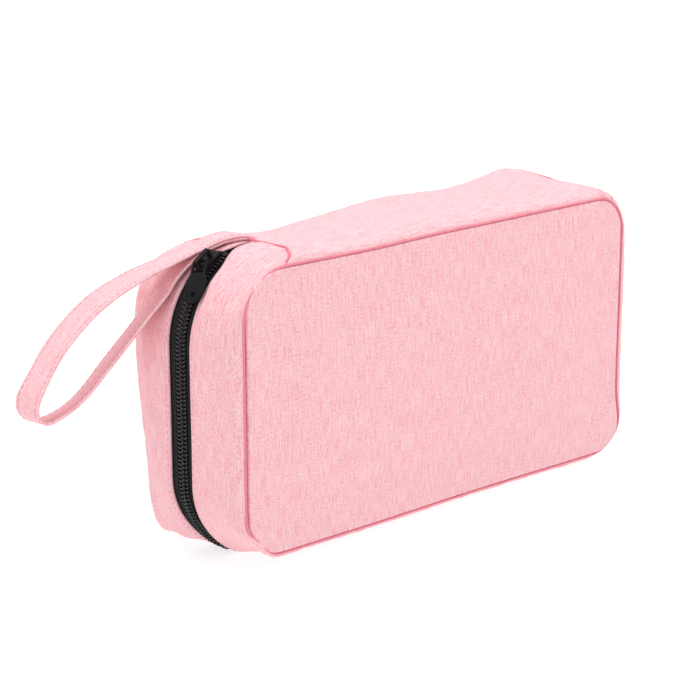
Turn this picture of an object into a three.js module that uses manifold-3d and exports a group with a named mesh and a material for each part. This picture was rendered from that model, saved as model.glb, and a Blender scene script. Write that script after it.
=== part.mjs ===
// Cable organizer pouch: a padded fabric case that stands on its long zip side, with the spine
// on top and a wrist strap caught in the seam at one end of the spine.
//
// Millimetres. +X runs along the length, -Y is the front panel, +Z is up, and z = 0 is the
// surface that the pouch stands on. The zip lies in the plane y = 0. The rear half stays still,
// and the front half is the lid: it swings on the spine, about a line along X over y = 0.
import * as THREE from "three";
import { mergeVertices } from "three/addons/utils/BufferGeometryUtils.js";
import Module from "manifold-3d";

// ---- Driving dimensions -------------------------------------------------------------------

const REAR = 1; // sign of y for each half
const FRONT = -1;
const LEFT = -1; // sign of x for each end
const RIGHT = 1;

// The side view of the pouch, at the panel seams and at the zip. Between them it bulges. Each
// radius is that of a corner: both lower ones, the upper left one and the upper right one.
const SEAM_Y = 36;
const SEAM = { halfLength: 117.5, bottom: 4, top: 131, lowRadius: 12, leftRadius: 17, rightRadius: 17 };
const ZIP = { halfLength: 125, bottom: 0, top: 135, lowRadius: 36, leftRadius: 41, rightRadius: 22 };
const FULLNESS = 1.3; // how soon the bulge reaches its full size, going in from the seam

const GAP = 0.3; // between pieces that touch
const OUTER = 1.5; // outer fabric with its backing
const TAPE = 0.6; // zip tape, and the lining fabric too
const FOAM = 3;
const BOARD_INSET = 4; // foam board inside the panel seam
const GUSSET_Y = [34.9, 32, 28.5, 23, 15, 7]; // gusset section, from the panel seam to the zip
const TURN_STEPS = 8; // facets in a quarter turn

// Coil zip, size 5. Insets are measured inwards from the outside of the gusset.
const COIL = { inner: 0.6, outer: 3.3, thickness: 2.4 };
const TAPE_INSET = OUTER + GAP;
const TAPE_REACH = 13; // y of the tape's sewn edge
const LINING_INSET = TAPE_INSET + TAPE + GAP;
const STOP_LENGTH_DEG = { top: 3, end: 5 };
const ZIP_TOP_DEG = 115; // the coil's closed end, up the left corner
const ZIP_END_DEG = 48; // its other end, up the right corner
const SPINE_END_DEG = 60; // the spine reaches a little way down the right corner

// Slider, in its own frame: s along the track, y across, h out from the coil's outer face.
const SLIDER_DEG = 125; // where it rests, up the left corner
const SLIDER = { front: -6, back: 4.6, halfWidth: 3.4, keel: 1.2, low: 0.5, edge: 1.9, top: 2.9 };
const SOLE = { high: -3.2, low: -4.2 }; // the plate inside the coil
const NECK = { front: -4.8, back: -2.4, halfWidth: 0.3 }; // it parts the two coils
const BAIL = { front: -3.4, back: 4.6, bar: 1.2, head: 5.5, crown: 6.5, halfWidth: 1.2 };
const PULL_PIVOT = { s: 2.3, h: 4.5 };
const PULL = { length: 19, halfWidth: 5, neckHalf: 3.6, shoulder: 9, thickness: 1 };
const EYE = { start: 0.5, end: 5.5, halfWidth: 2.6 };
const PULL_HOLE = { fromEnd: 3.4, radius: 1.2 };
const PULL_DIP_DEG = 18; // it leans in towards the coil
const PULL_SKEW_DEG = 22; // it lies a little to the front

// Wrist strap: a flat loop in an upright plane that turns a little to the rear.
const STRAP = { width: 19, thickness: 1.2, rootX: -82.4, rootY: 0.8, turn: Math.atan(0.2) };
const STRAP_LIFT = { lower: 1.4, upper: 2.9 }; // centre lines of its two legs, off the corner
const UPPER_LEG_DEG = 112; // where each leg leaves the corner
const LOWER_LEG_DEG = 150;
const LOOP_ROUTE = [
  [38, 128.2],
  [54, 122],
  [72, 112],
  [88, 96.5],
  [99.5, 80],
  [104, 73.5],
  [101.5, 69],
  [95, 68.2],
  [82, 73],
  [68, 86.5],
  [51.6, 104],
]; // distance out from the seam, and height
const STRAP_SAMPLES = 80;

// Pocket and elastic loops on the linings.
const LOOPS = { count: 5, width: 27, depth: 9, tack: 8, height: 22, thickness: 1, z: 66 };
const POCKET = { halfWidth: 95, low: 16, high: 86, depth: 6, edge: 5, sheet: 0.8, hem: 8 };

// ---- Materials ----------------------------------------------------------------------------

const paint = (color, roughness, metalness = 0) =>
  new THREE.MeshStandardMaterial({ color, roughness, metalness });

const OUTER_FABRIC = () => paint(0xf4a6b0, 0.9);
const LINING_FABRIC = () => paint(0x4a4b50, 0.85);
const ZIP_TAPE = () => paint(0x17181a, 0.9);
const NYLON = () => paint(0x1c1d20, 0.5);
const LACQUERED_ZINC = () => paint(0x141416, 0.35, 0.4);
const FOAM_SHEET = () => paint(0xe9e6df, 0.95);
const ELASTIC = () => paint(0x2a2b2f, 0.85);
const NET = () => paint(0x33353a, 0.8);

const pouch = new THREE.Group();

function add(name, geometry, material, parent = pouch) {
  const mesh = new THREE.Mesh(geometry, material);
  mesh.name = name;
  parent.add(mesh);
  return mesh;
}

// ---- Side outline and the bands that follow it ---------------------------------------------

// The side view at a given y, moved inwards by an inset.
function outlineAt(y, inset) {
  const arch = Math.sqrt(Math.max(0, 1 - (y / SEAM_Y) ** 2));
  const share = Math.min(1, FULLNESS * arch);
  const mix = (key) => SEAM[key] + (ZIP[key] - SEAM[key]) * share;
  return {
    halfLength: mix("halfLength") - inset,
    bottom: mix("bottom") + inset,
    top: mix("top") - inset,
    lowRadius: mix("lowRadius") - inset,
    leftRadius: mix("leftRadius") - inset,
    rightRadius: mix("rightRadius") - inset,
  };
}

function cornerRadius(outline, end, high) {
  if (!high) return outline.lowRadius;
  return end === LEFT ? outline.leftRadius : outline.rightRadius;
}

// A station is a place on the outline: an angle on one of its four corners.
function outlinePoint(station, y, inset) {
  const outline = outlineAt(y, inset);
  const radius = cornerRadius(outline, station.end, station.high);
  const z = station.high ? outline.top - radius : outline.bottom + radius;
  const x = station.end * (outline.halfLength - radius) + (station.shift ?? 0);
  const angle = THREE.MathUtils.degToRad(station.degrees);
  return new THREE.Vector3(x + radius * Math.cos(angle), y, z + radius * Math.sin(angle));
}

function corner(end, high, from, to) {
  return Array.from({ length: TURN_STEPS + 1 }, (_, i) => {
    return { end, high, degrees: from + ((to - from) * i) / TURN_STEPS };
  });
}

// Down the left end, along the bottom and up the right end.
const zipRoute = (from = 90, to = SPINE_END_DEG) => [
  ...corner(LEFT, true, from, 180),
  ...corner(LEFT, false, 180, 270),
  ...corner(RIGHT, false, 270, 360),
  ...corner(RIGHT, true, 0, to),
];
const spineRoute = [
  ...corner(RIGHT, true, SPINE_END_DEG + 1, 90),
  { end: LEFT, high: true, degrees: 90, shift: GAP },
];
const shortRun = (end, from, to) => [
  { end, high: true, degrees: from },
  { end, high: true, degrees: to },
];

// Turns the faces of a closed geometry outwards.
function facingOut(points, triangles) {
  let volume = 0;
  for (const [a, b, c] of triangles) {
    volume += points[a].dot(new THREE.Vector3().crossVectors(points[b], points[c]));
  }
  const order = volume > 0 ? triangles : triangles.map(([a, b, c]) => [a, c, b]);
  const geometry = new THREE.BufferGeometry().setFromPoints(points);
  geometry.setIndex(order.flat());
  geometry.computeVertexNormals();
  return geometry;
}

// A solid that carries a section, the [y, inset] points of a layer, along a route of stations.
function band(route, section, closed = false) {
  const points = route.flatMap((station) =>
    section.map(([y, inset]) => outlinePoint(station, y, inset)),
  );
  const across = section.length;
  const triangles = [];
  const spans = closed ? route.length : route.length - 1;
  for (let i = 0; i < spans; i += 1) {
    const here = i * across;
    const next = ((i + 1) % route.length) * across;
    for (let j = 0; j < across; j += 1) {
      const k = (j + 1) % across;
      triangles.push([here + j, next + j, next + k], [here + j, next + k, here + k]);
    }
  }
  const last = (route.length - 1) * across;
  for (let j = 0; !closed && j < across / 2 - 1; j += 1) {
    const [a, b, c, d] = [j, j + 1, across - 2 - j, across - 1 - j];
    triangles.push([a, b, c], [a, c, d]);
    triangles.push([last + c, last + b, last + a], [last + d, last + c, last + a]);
  }
  return facingOut(points, triangles);
}

// A section that follows the gusset between two insets, through a list of y values.
function layer(half, ys, inset, thickness) {
  const outside = ys.map((y) => [half * y, inset]);
  const inside = ys.map((y) => [half * y, inset + thickness]).reverse();
  return [...outside, ...inside];
}

const block = (half, yLow, yHigh, inset, thickness) => layer(half, [yHigh, yLow], inset, thickness);

// An upright plate with the outline of the panel seams, between two values of |y|.
function plate(half, yLow, yHigh, inset) {
  const outline = outlineAt(SEAM_Y, inset);
  const shape = new THREE.Shape();
  const quarter = Math.PI / 2;
  for (const [end, high, start] of [
    [RIGHT, true, 0],
    [LEFT, true, 1],
    [LEFT, false, 2],
    [RIGHT, false, 3],
  ]) {
    const radius = cornerRadius(outline, end, high);
    const x = end * (outline.halfLength - radius);
    const z = high ? outline.top - radius : outline.bottom + radius;
    shape.absarc(x, z, radius, start * quarter, (start + 1) * quarter, false);
  }
  const options = { depth: yHigh - yLow, bevelEnabled: false, curveSegments: TURN_STEPS };
  const geometry = new THREE.ExtrudeGeometry(shape, options);
  geometry.rotateX(quarter);
  return geometry.translate(0, half === REAR ? yHigh : -yLow, 0);
}

// ---- The two halves -----------------------------------------------------------------------

const PANEL_Y = GUSSET_Y[0] + GAP; // inner face of the outer panel
const BOARD_Y = PANEL_Y - GAP - FOAM;
const LINING_Y = BOARD_Y - GAP - TAPE;
const INNER_SPINE_Y = [28, 23, 15, GAP];
const GUSSET_LINING_Y = [LINING_Y - GAP, 28.5, 23, 15, 9];
const BINDING = { low: 28.8, high: LINING_Y - GAP, inset: 4, width: 4.5 };

function padding(half, name) {
  add(`${name}_panel`, plate(half, PANEL_Y, SEAM_Y, 0), OUTER_FABRIC());
  add(`${name}_foam_board`, plate(half, BOARD_Y, BOARD_Y + FOAM, BOARD_INSET), FOAM_SHEET());
  add(`${name}_lining_panel`, plate(half, LINING_Y, LINING_Y + TAPE, 4), LINING_FABRIC());
}

function gusset(half, name) {
  const outside = layer(half, GUSSET_Y, 0, OUTER);
  const lining = layer(half, GUSSET_LINING_Y, LINING_INSET, TAPE);
  add(`${name}_gusset`, band(zipRoute(), outside), OUTER_FABRIC());
  add(`${name}_gusset_lining`, band(zipRoute(), lining), LINING_FABRIC());
  const binding = block(half, BINDING.low, BINDING.high, BINDING.inset, BINDING.width);
  add(`${name}_seam_binding`, band(zipRoute(90, 90), binding, true), ELASTIC());
}

function spine(half, name) {
  const foamInset = OUTER + GAP;
  const liningInset = foamInset + FOAM - 1 + GAP;
  const outside = layer(half, [...GUSSET_Y, GAP], 0, OUTER);
  const foam = layer(half, INNER_SPINE_Y, foamInset, FOAM - 1);
  const lining = layer(half, INNER_SPINE_Y, liningInset, TAPE);
  add(`${name}_spine`, band(spineRoute, outside), OUTER_FABRIC());
  add(`${name}_spine_foam`, band(spineRoute, foam), FOAM_SHEET());
  add(`${name}_spine_lining`, band(spineRoute, lining), LINING_FABRIC());
}

function zip(half, name) {
  const { inner, outer, thickness } = COIL;
  const tape = block(half, outer + GAP, TAPE_REACH, TAPE_INSET, TAPE);
  const chain = block(half, inner, outer, 0, thickness);
  const gapDegrees = 1;
  const route = zipRoute(ZIP_TOP_DEG + gapDegrees, ZIP_END_DEG - gapDegrees);
  add(`${name}_zip_tape`, band(zipRoute(), tape), ZIP_TAPE());
  add(`${name}_coil`, band(route, chain), NYLON());
  const topRun = shortRun(LEFT, ZIP_TOP_DEG - STOP_LENGTH_DEG.top, ZIP_TOP_DEG);
  const endRun = shortRun(RIGHT, ZIP_END_DEG, ZIP_END_DEG + STOP_LENGTH_DEG.end);
  add(`${name}_top_stop`, band(topRun, chain), LACQUERED_ZINC());
  add(`${name}_end_stop`, band(endRun, chain), LACQUERED_ZINC());
}

for (const [half, name] of [
  [REAR, "rear"],
  [FRONT, "front"],
]) {
  padding(half, name);
  gusset(half, name);
  spine(half, name);
  zip(half, name);
}

// ---- Inside: elastic loops on the rear lining, net pocket on the front lining --------------

// Seen from above, the elastic runs along the wall and arches out over each loop.
function elasticLoops() {
  const { count, width, depth, tack, height, thickness } = LOOPS;
  const pitch = width + 2 * thickness + tack;
  const half = (count * pitch + tack) / 2;
  const centres = Array.from({ length: count }, (_, i) => (i - (count - 1) / 2) * pitch);
  const radiusX = width / 2;
  const shape = new THREE.Shape();
  shape.moveTo(-half, 0);
  for (const x of centres) {
    shape.lineTo(x - radiusX, 0);
    shape.absellipse(x, 0, radiusX, depth, Math.PI, 0, true);
  }
  shape.lineTo(half, 0);
  shape.lineTo(half, thickness);
  for (const x of [...centres].reverse()) {
    shape.absellipse(x, thickness, radiusX + thickness, depth, 0, Math.PI, false);
  }
  shape.lineTo(-half, thickness);
  const options = { depth: height, bevelEnabled: false, curveSegments: TURN_STEPS };
  const geometry = new THREE.ExtrudeGeometry(shape, options);
  geometry.rotateX(Math.PI);
  return geometry.translate(0, LINING_Y - GAP, LOOPS.z + height / 2);
}
add("elastic_loops", elasticLoops(), ELASTIC());

// A bellows pocket: an edge strip round three sides, a net over it, and a hem on its mouth.
function pocketEdge() {
  const { halfWidth, low, high, depth, edge } = POCKET;
  const shape = new THREE.Shape([
    new THREE.Vector2(-halfWidth, high),
    new THREE.Vector2(-halfWidth, low),
    new THREE.Vector2(halfWidth, low),
    new THREE.Vector2(halfWidth, high),
    new THREE.Vector2(halfWidth - edge, high),
    new THREE.Vector2(halfWidth - edge, low + edge),
    new THREE.Vector2(edge - halfWidth, low + edge),
    new THREE.Vector2(edge - halfWidth, high),
  ]);
  const geometry = new THREE.ExtrudeGeometry(shape, { depth, bevelEnabled: false });
  geometry.rotateX(Math.PI / 2);
  return geometry.translate(0, depth + GAP - LINING_Y, 0);
}

function pocketSheet(low, high, thickness) {
  const geometry = new THREE.BoxGeometry(2 * POCKET.halfWidth, thickness, high - low);
  const y = POCKET.depth + 2 * GAP - LINING_Y + thickness / 2;
  return geometry.translate(0, y, (low + high) / 2);
}

const HEM_LOW = POCKET.high - POCKET.hem;
add("pocket_edge", pocketEdge(), ELASTIC());
add("pocket_net", pocketSheet(POCKET.low, HEM_LOW - GAP, POCKET.sheet), NET());
add("pocket_hem", pocketSheet(HEM_LOW, POCKET.high, 2 * POCKET.sheet), ELASTIC());

// ---- Slider and pull -----------------------------------------------------------------------

const wasm = await Module();
wasm.setup();

function solidOf(geometry) {
  const bare = geometry.clone();
  bare.deleteAttribute("normal");
  bare.deleteAttribute("uv");
  const merged = mergeVertices(bare);
  const vertProperties = merged.attributes.position.array;
  const triVerts = new Uint32Array(merged.index.array);
  return new wasm.Manifold(new wasm.Mesh({ numProp: 3, vertProperties, triVerts }));
}

function join(...geometries) {
  const [first, ...rest] = geometries.map(solidOf);
  const mesh = rest.reduce((sum, solid) => sum.add(solid), first).getMesh();
  const geometry = new THREE.BufferGeometry();
  geometry.setAttribute("position", new THREE.BufferAttribute(mesh.vertProperties, 3));
  geometry.setIndex(new THREE.BufferAttribute(mesh.triVerts, 1));
  geometry.computeVertexNormals();
  return geometry;
}

// A box between two corners.
function boxBetween([x0, y0, z0], [x1, y1, z1]) {
  const geometry = new THREE.BoxGeometry(x1 - x0, y1 - y0, z1 - z0);
  return geometry.translate((x0 + x1) / 2, (y0 + y1) / 2, (z0 + z1) / 2);
}

const AXIS_X = new THREE.Vector3(1, 0, 0);
const AXIS_Y = new THREE.Vector3(0, 1, 0);
const AXIS_Z = new THREE.Vector3(0, 0, 1);
const CORNER = {
  x: LEFT * (ZIP.halfLength - ZIP.leftRadius),
  z: ZIP.top - ZIP.leftRadius,
  radius: ZIP.leftRadius,
};

// The slider's frame: x runs down the track, y to the front, z out from the coil.
const slider = new THREE.Group();
const sliderAngle = THREE.MathUtils.degToRad(SLIDER_DEG);
const outward = new THREE.Vector3(Math.cos(sliderAngle), 0, Math.sin(sliderAngle));
const downTrack = new THREE.Vector3(-Math.sin(sliderAngle), 0, Math.cos(sliderAngle));
const sliderFrame = new THREE.Matrix4().makeBasis(downTrack, AXIS_Y.clone().negate(), outward);
slider.quaternion.setFromRotationMatrix(sliderFrame);
slider.position.set(CORNER.x, 0, CORNER.z).addScaledVector(outward, CORNER.radius);
pouch.add(slider);

// The upper plate is a keel that widens to thin edges, so the coils can leave sideways.
function sliderBody() {
  const { front, back, halfWidth, keel, low, edge, top } = SLIDER;
  const section = new THREE.Shape([
    new THREE.Vector2(-keel, low),
    new THREE.Vector2(keel, low),
    new THREE.Vector2(halfWidth, edge),
    new THREE.Vector2(halfWidth, top),
    new THREE.Vector2(-halfWidth, top),
    new THREE.Vector2(-halfWidth, edge),
  ]);
  const options = { depth: back - front, bevelEnabled: false };
  const upper = new THREE.ExtrudeGeometry(section, options);
  upper.applyMatrix4(new THREE.Matrix4().makeBasis(AXIS_Y, AXIS_Z, AXIS_X));
  upper.translate(front, 0, 0);
  const sole = boxBetween([front, -halfWidth, SOLE.low], [back, halfWidth, SOLE.high]);
  const neck = boxBetween(
    [NECK.front, -NECK.halfWidth, (SOLE.low + SOLE.high) / 2],
    [NECK.back, NECK.halfWidth, edge],
  );
  return join(upper, sole, neck);
}

// The bail is an arch over the plate, and the pull hangs on its bar.
function sliderBail() {
  const { front, back, bar, head, crown, halfWidth } = BAIL;
  const foot = SLIDER.top + GAP;
  const side = new THREE.Shape([
    new THREE.Vector2(front, foot),
    new THREE.Vector2(front + bar, foot),
    new THREE.Vector2(front + bar, head),
    new THREE.Vector2(back - bar, head),
    new THREE.Vector2(back - bar, foot),
    new THREE.Vector2(back, foot),
    new THREE.Vector2(back, crown),
    new THREE.Vector2(front, crown),
  ]);
  const geometry = new THREE.ExtrudeGeometry(side, { depth: 2 * halfWidth, bevelEnabled: false });
  geometry.rotateX(Math.PI / 2);
  return geometry.translate(0, halfWidth, 0);
}

// A tapered tab with a round end, an eye for the bail and a small hole near the end.
function pull() {
  const { length, halfWidth, neckHalf, shoulder, thickness } = PULL;
  const shape = new THREE.Shape();
  shape.moveTo(-EYE.start, -neckHalf);
  shape.lineTo(EYE.end, -neckHalf);
  shape.lineTo(shoulder, -halfWidth);
  shape.lineTo(length - halfWidth, -halfWidth);
  shape.absarc(length - halfWidth, 0, halfWidth, -Math.PI / 2, Math.PI / 2, false);
  shape.lineTo(shoulder, halfWidth);
  shape.lineTo(EYE.end, neckHalf);
  shape.lineTo(-EYE.start, neckHalf);
  const eye = new THREE.Path([
    new THREE.Vector2(EYE.start, -EYE.halfWidth),
    new THREE.Vector2(EYE.start, EYE.halfWidth),
    new THREE.Vector2(EYE.end, EYE.halfWidth),
    new THREE.Vector2(EYE.end, -EYE.halfWidth),
  ]);
  const hole = new THREE.Path();
  hole.absarc(length - PULL_HOLE.fromEnd, 0, PULL_HOLE.radius, 0, 2 * Math.PI, true);
  shape.holes.push(eye, hole);
  const options = { depth: thickness, bevelEnabled: false, curveSegments: TURN_STEPS };
  return new THREE.ExtrudeGeometry(shape, options).translate(0, 0, -thickness / 2);
}

add("slider_body", sliderBody(), LACQUERED_ZINC(), slider);
add("slider_bail", sliderBail(), LACQUERED_ZINC(), slider);
const puller = add("puller", pull(), LACQUERED_ZINC(), slider);
puller.position.set(PULL_PIVOT.s, 0, PULL_PIVOT.h);
const dip = THREE.MathUtils.degToRad(PULL_DIP_DEG);
const skew = THREE.MathUtils.degToRad(PULL_SKEW_DEG);
puller.rotation.set(0, dip, skew, "ZYX");

// ---- Wrist strap ---------------------------------------------------------------------------

// Its centre line in its own upright plane: distance out from the seam, and height. Both legs
// follow the round corner of the pouch, and the loop hangs free beyond it.
function strapLine() {
  const { turn, width } = STRAP;
  const centre = (STRAP.rootX - CORNER.x + width * Math.sin(turn)) / Math.cos(turn);
  const onCorner = (degrees, lift) => {
    const angle = THREE.MathUtils.degToRad(degrees);
    const radius = CORNER.radius + lift;
    const out = centre - radius * Math.cos(angle);
    return new THREE.Vector3(out, CORNER.z + radius * Math.sin(angle), 0);
  };
  const leg = (lastDegrees, lift) => [
    new THREE.Vector3(0, CORNER.z + CORNER.radius + lift, 0),
    ...[90, 97, 104, lastDegrees].map((degrees) => onCorner(degrees, lift)),
  ];
  const upper = leg(UPPER_LEG_DEG, STRAP_LIFT.upper);
  const lower = leg(112, STRAP_LIFT.lower);
  const rest = [120, 130, 140, LOWER_LEG_DEG].map((degrees) =>
    onCorner(degrees, STRAP_LIFT.lower),
  );
  const loop = LOOP_ROUTE.map(([out, height]) => new THREE.Vector3(out, height, 0));
  const points = [...upper, ...loop, ...rest.reverse(), ...lower.reverse()];
  return new THREE.CatmullRomCurve3(points, false, "centripetal").getSpacedPoints(STRAP_SAMPLES);
}

function strap() {
  const line = strapLine();
  const side = (offset) =>
    line.map((point, i) => {
      const before = line[Math.max(i - 1, 0)];
      const after = line[Math.min(i + 1, line.length - 1)];
      const along = after.clone().sub(before).normalize();
      return new THREE.Vector2(point.x - offset * along.y, point.y + offset * along.x);
    });
  const half = STRAP.thickness / 2;
  const shape = new THREE.Shape([...side(half), ...side(-half).reverse()]);
  const geometry = new THREE.ExtrudeGeometry(shape, { depth: STRAP.width, bevelEnabled: false });
  const out = new THREE.Vector3(-Math.cos(STRAP.turn), Math.sin(STRAP.turn), 0);
  const across = new THREE.Vector3(Math.sin(STRAP.turn), Math.cos(STRAP.turn), 0);
  geometry.applyMatrix4(new THREE.Matrix4().makeBasis(out, AXIS_Z, across));
  return geometry.translate(STRAP.rootX, STRAP.rootY, 0);
}
add("wrist_strap", strap(), OUTER_FABRIC());

export default pouch;
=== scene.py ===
import math

import bpy
import numpy as np
from mathutils import Matrix, Vector, noise


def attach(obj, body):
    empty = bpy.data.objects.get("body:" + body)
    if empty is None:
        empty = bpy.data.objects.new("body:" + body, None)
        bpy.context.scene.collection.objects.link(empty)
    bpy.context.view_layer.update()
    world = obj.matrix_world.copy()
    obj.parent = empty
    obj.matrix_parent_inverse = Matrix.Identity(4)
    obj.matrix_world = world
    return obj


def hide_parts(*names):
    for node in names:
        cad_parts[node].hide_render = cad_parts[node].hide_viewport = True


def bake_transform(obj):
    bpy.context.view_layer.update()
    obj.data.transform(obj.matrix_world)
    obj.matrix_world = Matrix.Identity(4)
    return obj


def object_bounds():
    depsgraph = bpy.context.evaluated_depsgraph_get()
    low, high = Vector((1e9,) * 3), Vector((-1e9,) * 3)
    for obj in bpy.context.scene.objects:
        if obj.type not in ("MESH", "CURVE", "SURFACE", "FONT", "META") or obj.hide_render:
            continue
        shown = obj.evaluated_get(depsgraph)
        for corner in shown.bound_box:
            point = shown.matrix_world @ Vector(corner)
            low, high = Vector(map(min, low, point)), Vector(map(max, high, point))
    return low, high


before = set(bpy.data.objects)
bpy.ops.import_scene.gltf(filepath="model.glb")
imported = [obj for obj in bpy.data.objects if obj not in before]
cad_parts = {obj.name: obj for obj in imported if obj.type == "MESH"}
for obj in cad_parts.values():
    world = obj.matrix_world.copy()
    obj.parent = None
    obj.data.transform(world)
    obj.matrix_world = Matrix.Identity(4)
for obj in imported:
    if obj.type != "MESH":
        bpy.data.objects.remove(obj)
CAD_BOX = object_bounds()

# ---- Driving dimensions ----

MM = 0.001
REAR, FRONT = 1, -1
LEFT, RIGHT = -1, 1
HALVES = {REAR: "rear", FRONT: "front"}

# The side view of the pouch at the panel seams and at the zip, as in the CAD.
SEAM_Y = 36 * MM
SEAM = {"half": 117.5 * MM, "bottom": 4 * MM, "top": 131 * MM}
SEAM.update({"low_r": 12 * MM, "left_r": 17 * MM, "right_r": 17 * MM})
ZIP = {"half": 125 * MM, "bottom": 0, "top": 135 * MM}
ZIP.update({"low_r": 36 * MM, "left_r": 41 * MM, "right_r": 22 * MM})
FULLNESS = 1.3
CORNERS = [(LEFT, True, 90), (LEFT, False, 180), (RIGHT, False, 270), (RIGHT, True, 360)]
SPINE_FROM = 6 + 60 / 90  # the spine starts a little way down the right corner
SPINE_TO = 8
SPINE_OVERLAP = 0.8 * MM  # over the ends of the two gussets

CLOTH_STEP = 1.6 * MM  # between columns of a cloth mesh
SEAM_ROLL = 1.3 * MM  # how deep the cloth rolls into a seam
PANEL_CROWN = 1.0 * MM
PAD_INNER_Y = 32.2 * MM
LINING_Y = 31.3 * MM
LINING_INSET = 4 * MM
LINING_SHEET = 0.6 * MM
EDGE_STEPS = [0, 0.25, 0.6, 1.0, 1.6, 2.4, 3.6, 5.2, 7.2, 9.2, 11.2, 13.2, 15.2]

# Sections of the bands round the zip side: |y| and inset in mm, from the seam to the zip.
GUSSET_OUTER = [
    (34.4, 3.2), (34.9, 2.0), (35.25, 1.1), (35.3, 0.3), (35.0, -0.35), (34.4, -0.75),
    (33.4, -0.95), (32.2, -0.85), (30.6, -0.5), (29, -0.2), (27, 0), (25, 0), (23, 0), (21, 0),
    (19, 0), (17, 0), (15, 0), (13.4, 0), (12, 0), (10.6, 0), (9.6, 0), (8.8, 0), (8.0, 0.05),
    (7.4, 0.25), (7.05, 0.6), (7.0, 1.0), (7.3, 1.4),
]
GUSSET_INNER = (34.5, 8, 1.6)
FOLD = {"place": 0.42, "width": 0.38, "rise": 4.6}  # a fold of the front gusset, up the corner
FOLD.update({"from": (9, 14.5), "to": (17, 31)})  # the |y| where it rises and where it falls
END_BULGE = 1.9  # of the gusset beside the panel seam at the right end, in mm
# The seam thread fills the groove at the panel seams, and the thread across the spine's ends stands
# proud of the cloth; their dark colour is painted shade of the seams.
SEAM_THREAD = {"y": 35.5, "inset": 0.3, "radius": 0.5 * MM}
SPINE_SEAM = {"half": 34.6, "inset": -0.8, "points": 60}
LIPS_SHUT_DEG, LIPS_OPEN_DEG, LIPS_CLOSE = 102, 128, 5.8  # up the left corner, and in mm
SPINE_INNER = (28, 3.9)

# Heights of the cloth's small puckers beside a seam and of its broad waves, in mm.
PANEL_CLOTH = {"seam": 0.35, "wave": 0.7}
GUSSET_CLOTH = {"lip": 0.30, "seam": 0.35, "wave": 0.9}
SPINE_CLOTH = {"seam": 0.3, "wave": 0.5, "rise": 0.5, "roll": 1.3, "roll_width": 1.5}
PUCKER = (4.2, 9)  # length along the seam and width, in mm
SEEDS = {"panel pucker": 3.1, "panel wave": 7.7, "lining": 11.3, "gusset pucker": 21.0}
SEEDS.update({"gusset wave": 31.0, "spine pucker": 41.0, "spine wave": 47.0, "strap": 61.0})

# How the cloth simulation blows a piece out, and how far each point may go out and in.
SIM_FRAMES = 16
CLOTH = {"quality": 4, "mass": 0.25, "tension_stiffness": 12, "compression_stiffness": 12}
CLOTH.update({"shear_stiffness": 4, "bending_stiffness": 0.4, "air_damping": 2})
PANEL_PUFF = {"pressure": 0.25, "slack": 0.004, "outward": 1.6 * MM, "inward": 0.5 * MM}
GUSSET_PUFF = {"pressure": 0.15, "slack": 0.006, "outward": 0.9 * MM, "inward": 0.1 * MM}
SPINE_PUFF = {"pressure": 0.1, "slack": 0.004, "outward": 1.0 * MM, "inward": 0.6 * MM}

TAPE_SECTION = [(3.3, 1.75), (5.2, 1.75), (7, 1.75), (10, 1.8), (13, 1.8)]
TAPE_SHEET = 0.5
GUSSET_LINING_Y = (30.7, 26, 21, 16, 12, 9.2)
GUSSET_LINING_INSET = 2.7
SPINE_LINING = (28, 4.1)
BINDING = {"y": 29.75, "inset": 6.2, "half_y": 0.9, "half_inset": 2.2}

COIL = {"pitch": 1.86 * MM, "wire": 0.4 * MM, "mid_y": 1.6, "half_y": 1.75, "mid": 1.15, "half": 0.75}
COIL_FROM, COIL_TO = 116, 47  # degrees round the top left and top right corners
COIL_STEPS = 10
CHAIN_STITCH = {"y": 2.25, "bow": (0.30, -0.10, -0.25, -0.10, 0.30), "radius": 0.28 * MM}

SLIDER_DEG = 125
PULL_PIVOT = (2.3 * MM, 0, 4.5 * MM)
PULL_DIP, PULL_SKEW = math.radians(18), math.radians(22)
PULL = {"length": 19, "half": 5, "neck": 3.6, "shoulder": 9, "thickness": 1.0, "bevel": 0.22}
PULL_EYE = {"start": 0.5, "end": 5.5, "half": 2.6}
PULL_HOLE = {"from_end": 3.4, "radius": 1.2}
PULL_RIM = {"inset": 0.9, "radius": 0.22 * MM}

STRAP_ROOT = (-82.4 * MM, 0.8 * MM)
STRAP_TURN = math.atan(0.2)
STRAP_WIDTH = 19 * MM
STRAP_LIFT = {"lower": 0.8, "upper": 2.0}
STRAP_LOOP = [
    (38, 128.6), (54, 122.6), (72, 112.8), (88, 98), (98.2, 82.5), (101.2, 75.6),
    (100.4, 70.4), (95, 68.8), (81, 76), (66.5, 90), (50.5, 106.5),
]  # distance out from the seam, and height, in mm
STRAP_UPPER_DEG = (88, 97, 104, 112)  # where each leg lies on the round corner
STRAP_LOWER_DEG = (88, 97, 104, 112, 120, 130, 140, 148)
STRAP_ACROSS = (0, 0.25, 0.8, 1.6, 2.0, 2.4, 3.2, 5, 7.2, 9.5)  # from an edge to the middle
STRAP_HALF_THICK = 0.75 * MM
STRAP_SEAM = {"in": 2.0, "width": 0.5, "depth": 0.22 * MM}  # the groove of its topstitching
STRAP_TWIST_DEG = 15  # of the lower leg, where it hangs free
STRAP_STEPS = 220

THREAD = 0.16 * MM
STITCH, STITCH_GAP = 2.4 * MM, 0.6 * MM
STITCH_BOW = np.array((-1.0, 0.35, 0.7, 0.35, -1.0)) * (0.22 * MM)  # height along a stitch
LIP_STITCH_Y = 9.2

LOOPS = {"count": 5, "width": 27, "depth": 9, "tack": 8, "height": 22, "sheet": 1, "z": 66}
LINING_FACE = (LINING_Y - LINING_SHEET / 2) / MM - 0.3
RIB = 1.8
POCKET = {"half": 95, "low": 16, "high": 86, "depth": 6, "edge": 5, "hem": 8, "bend": 4.0}
POCKET_FRONT = -LINING_FACE + POCKET["depth"]
NET_STEP = 3.4
NET_WIRE = 0.24 * MM

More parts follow.
